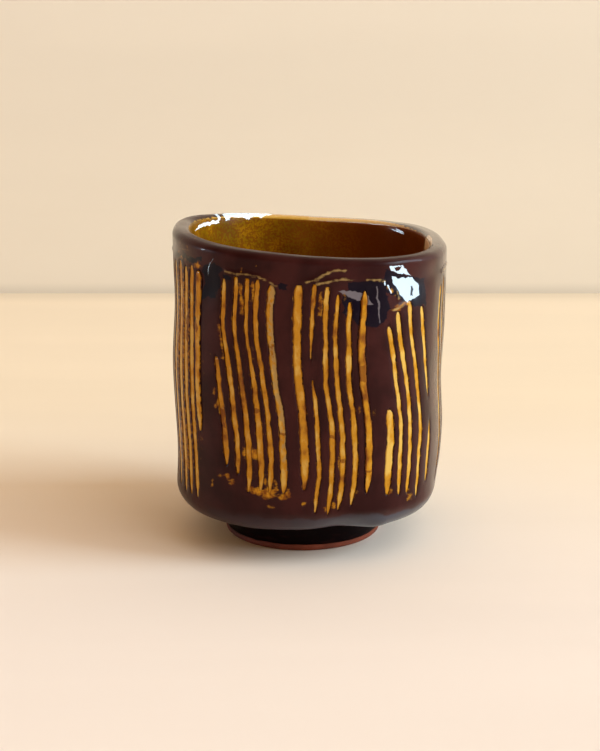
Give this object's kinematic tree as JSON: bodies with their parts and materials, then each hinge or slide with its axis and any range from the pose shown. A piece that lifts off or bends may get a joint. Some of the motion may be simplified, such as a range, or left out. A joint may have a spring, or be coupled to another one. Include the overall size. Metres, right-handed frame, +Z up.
{
  "type": "sake cup",
  "caption": "Squared, hand-formed sake cup on a low foot ring, coated in dark slip with groups of wavy lines cut through it, and glazed amber inside, for holding a small drink.",
  "frame": {"origin": "on the table under the middle of the cup", "axes": "+Z up along the cup, -Y towards the front of the picture, +X to its right"},
  "size_m": [0.06, 0.0596, 0.0696],
  "materials": {
    "red_clay": "fired red clay under the coats",
    "bare_clay": "bare fired red clay, matt and slightly gritty",
    "dark_slip": "dark aubergine brown slip under a clear gloss glaze",
    "foot_slip": "near black slip on the side of the foot, satin",
    "inner_glaze": "speckled olive amber gloss glaze",
    "line_glaze": "golden amber gloss glaze in the cut lines"
  },
  "bodies": {
    "root": {"clay_body": "red_clay", "foot_ring": "bare_clay", "dark_slip_coat": "dark_slip", "foot_slip_band": "foot_slip", "inner_glaze": "inner_glaze", "line_glaze_front": "line_glaze", "line_glaze_right": "line_glaze", "line_glaze_back": "line_glaze", "line_glaze_left": "line_glaze"}
  },
  "joints": []
}
